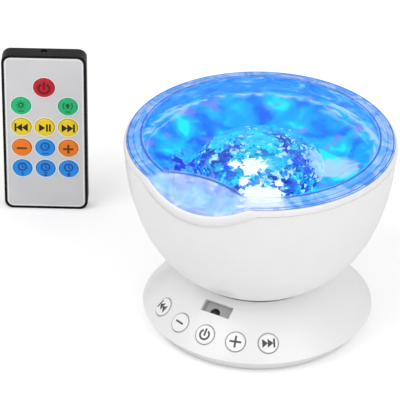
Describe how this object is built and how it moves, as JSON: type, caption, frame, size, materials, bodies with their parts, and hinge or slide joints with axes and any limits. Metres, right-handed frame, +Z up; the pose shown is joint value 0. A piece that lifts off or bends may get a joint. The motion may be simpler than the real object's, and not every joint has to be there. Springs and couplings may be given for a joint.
{
  "type": "ocean wave projector",
  "caption": "Ocean wave night light: a tilting bowl with a clear blue cover and a geared ripple disc over lamps, on a round speaker base with push buttons, with a remote handset.",
  "frame": {"origin": "on the base's axis, on the plane that the rubber feet stand on, 1 mm below the plate's underside", "axes": "+Z up; -Y is the front, where the row of buttons is; the head tilts about an axis along X"},
  "size_m": [0.229, 0.131, 0.1036],
  "materials": {
    "shell_white": "satin gloss white",
    "rim_white": "polished white",
    "foot_rubber": "matt",
    "screw_steel": "zinc plated",
    "speaker_steel": "pressed",
    "cone_paper": "doped black",
    "magnet_iron": "nickel plated",
    "board_green": "solder mask",
    "port_steel": "bright",
    "part_black": "moulded",
    "eye_black": "polished infrared filter",
    "pocket_grey": "fine texture",
    "button_white": "satin",
    "cover_blue": "clear blue acrylic",
    "crystal_blue": "faceted clear acrylic",
    "reflector_white": "polished",
    "deck_white": "moulded",
    "led_white": "clear epoxy, lit",
    "motor_steel": "zinc plated can",
    "axle_steel": "ground",
    "ripple_clear": "clear acrylic",
    "gear_nylon": "natural",
    "case_black": "fine texture",
    "face_grey": "printed film",
    "dome_steel": "stamped",
    "cell_steel": "nickel plated",
    "key_red": "soft gloss",
    "key_green": "soft gloss",
    "key_yellow": "soft gloss",
    "key_orange": "soft gloss",
    "key_blue": "soft gloss"
  },
  "bodies": {
    "base": {"base_shell": "shell_white", "tilt_cradle": "shell_white", "bottom_cover": "shell_white", "rubber_feet": "foot_rubber", "base_screws": "screw_steel", "speaker_frame": "speaker_steel", "speaker_cone": "cone_paper", "speaker_magnet": "magnet_iron", "main_board": "board_green", "usb_port": "port_steel", "aux_jack": "part_black", "card_slot": "port_steel", "ir_receiver": "eye_black", "ir_pocket": "pocket_grey", "button_strip": "board_green", "button_switches": "part_black"},
    "head": {"bowl_shell": "shell_white", "rim_ring": "rim_white", "top_cover": "cover_blue", "crystal_dome": "crystal_blue", "reflector": "reflector_white", "deck_plate": "deck_white", "deck_screws": "screw_steel", "led_board": "deck_white", "leds": "led_white", "motor": "motor_steel", "center_axle": "axle_steel", "tilt_washer": "axle_steel", "tilt_spring": "axle_steel", "tilt_screw": "screw_steel"},
    "wave": {"disc_gear": "gear_nylon", "wave_disc": "ripple_clear"},
    "idler": {"idler_gear": "gear_nylon"},
    "pinion": {"motor_pinion": "gear_nylon"},
    "handset": {"remote_back": "case_black", "remote_front": "case_black", "remote_faceplate": "face_grey", "remote_board": "board_green", "key_domes": "dome_steel", "coin_cell": "cell_steel", "ir_led": "eye_black"},
    "battery_cap": {"battery_cap": "case_black"},
    "previous_button": {"previous_button": "button_white"},
    "volume_down_button": {"volume_down_button": "button_white"},
    "power_button": {"power_button": "button_white"},
    "volume_up_button": {"volume_up_button": "button_white"},
    "next_button": {"next_button": "button_white"},
    "key_power": {"key_power": "key_red"},
    "key_light": {"key_light": "key_green"},
    "key_dimmer": {"key_dimmer": "key_green"},
    "key_previous": {"key_previous": "key_yellow"},
    "key_play": {"key_play": "key_yellow"},
    "key_next": {"key_next": "key_yellow"},
    "key_volume_down": {"key_volume_down": "key_orange"},
    "key_mode": {"key_mode": "key_blue"},
    "key_volume_up": {"key_volume_up": "key_orange"},
    "key_timer_1": {"key_timer_1": "key_blue"},
    "key_timer_2": {"key_timer_2": "key_blue"},
    "key_timer_4": {"key_timer_4": "key_blue"}
  },
  "joints": [
    {"name": "head_tilt", "type": "hinge", "parent": "base", "child": "head", "pos_m": [0, 0, 0.08], "axis": [1, 0, 0], "range_deg": [-20, 20]},
    {"name": "wave_spin", "type": "hinge", "parent": "head", "child": "wave", "pos_m": [0, 0, 0.0775], "axis": [0, 0, 1], "continuous": true},
    {"name": "idler_spin", "type": "hinge", "parent": "head", "child": "idler", "pos_m": [0.0385, 0, 0.0775], "axis": [0, 0, 1], "continuous": true},
    {"name": "pinion_spin", "type": "hinge", "parent": "head", "child": "pinion", "pos_m": [0.03626, 0.0127, 0.0775], "axis": [0, 0, 1], "continuous": true},
    {"name": "previous_button_press", "type": "slide", "parent": "base", "child": "previous_button", "axis": [0.4161, 0.5644, -0.713], "range_m": [0, 0.0005], "stiffness_N_per_m": 900, "springref_m": -0.0002},
    {"name": "volume_down_button_press", "type": "slide", "parent": "base", "child": "volume_down_button", "axis": [0.219, 0.6661, -0.713], "range_m": [0, 0.0005], "stiffness_N_per_m": 900, "springref_m": -0.0002},
    {"name": "power_button_press", "type": "slide", "parent": "base", "child": "power_button", "axis": [0, 0.7012, -0.713], "range_m": [0, 0.0005], "stiffness_N_per_m": 900, "springref_m": -0.0002},
    {"name": "volume_up_button_press", "type": "slide", "parent": "base", "child": "volume_up_button", "axis": [-0.219, 0.6661, -0.713], "range_m": [0, 0.0005], "stiffness_N_per_m": 900, "springref_m": -0.0002},
    {"name": "next_button_press", "type": "slide", "parent": "base", "child": "next_button", "axis": [-0.4161, 0.5644, -0.713], "range_m": [0, 0.0005], "stiffness_N_per_m": 900, "springref_m": -0.0002},
    {"name": "remote_lift", "type": "slide", "parent": "base", "child": "handset", "axis": [0, 0, 1], "range_m": [0, 0.1]},
    {"name": "battery_cap_turn", "type": "hinge", "parent": "handset", "child": "battery_cap", "pos_m": [-0.14288, 0.02787, 0.022], "axis": [-0.4955, 0.8686, 0], "range_deg": [0, 45]},
    {"name": "key_power_press", "type": "slide", "parent": "handset", "child": "key_power", "axis": [-0.4955, 0.8686, 0], "range_m": [0, 0.00035], "stiffness_N_per_m": 600, "springref_m": -0.0002},
    {"name": "key_light_press", "type": "slide", "parent": "handset", "child": "key_light", "axis": [-0.4955, 0.8686, 0], "range_m": [0, 0.00035], "stiffness_N_per_m": 600, "springref_m": -0.0002},
    {"name": "key_dimmer_press", "type": "slide", "parent": "handset", "child": "key_dimmer", "axis": [-0.4955, 0.8686, 0], "range_m": [0, 0.00035], "stiffness_N_per_m": 600, "springref_m": -0.0002},
    {"name": "key_previous_press", "type": "slide", "parent": "handset", "child": "key_previous", "axis": [-0.4955, 0.8686, 0], "range_m": [0, 0.00035], "stiffness_N_per_m": 600, "springref_m": -0.0002},
    {"name": "key_play_press", "type": "slide", "parent": "handset", "child": "key_play", "axis": [-0.4955, 0.8686, 0], "range_m": [0, 0.00035], "stiffness_N_per_m": 600, "springref_m": -0.0002},
    {"name": "key_next_press", "type": "slide", "parent": "handset", "child": "key_next", "axis": [-0.4955, 0.8686, 0], "range_m": [0, 0.00035], "stiffness_N_per_m": 600, "springref_m": -0.0002},
    {"name": "key_volume_down_press", "type": "slide", "parent": "handset", "child": "key_volume_down", "axis": [-0.4955, 0.8686, 0], "range_m": [0, 0.00035], "stiffness_N_per_m": 600, "springref_m": -0.0002},
    {"name": "key_mode_press", "type": "slide", "parent": "handset", "child": "key_mode", "axis": [-0.4955, 0.8686, 0], "range_m": [0, 0.00035], "stiffness_N_per_m": 600, "springref_m": -0.0002},
    {"name": "key_volume_up_press", "type": "slide", "parent": "handset", "child": "key_volume_up", "axis": [-0.4955, 0.8686, 0], "range_m": [0, 0.00035], "stiffness_N_per_m": 600, "springref_m": -0.0002},
    {"name": "key_timer_1_press", "type": "slide", "parent": "handset", "child": "key_timer_1", "axis": [-0.4955, 0.8686, 0], "range_m": [0, 0.00035], "stiffness_N_per_m": 600, "springref_m": -0.0002},
    {"name": "key_timer_2_press", "type": "slide", "parent": "handset", "child": "key_timer_2", "axis": [-0.4955, 0.8686, 0], "range_m": [0, 0.00035], "stiffness_N_per_m": 600, "springref_m": -0.0002},
    {"name": "key_timer_4_press", "type": "slide", "parent": "handset", "child": "key_timer_4", "axis": [-0.4955, 0.8686, 0], "range_m": [0, 0.00035], "stiffness_N_per_m": 600, "springref_m": -0.0002}
  ],
  "couplings": [
    {"joint": "idler_spin", "follows": "wave_spin", "ratio": -3.8},
    {"joint": "pinion_spin", "follows": "wave_spin", "ratio": 6.3333}
  ]
}
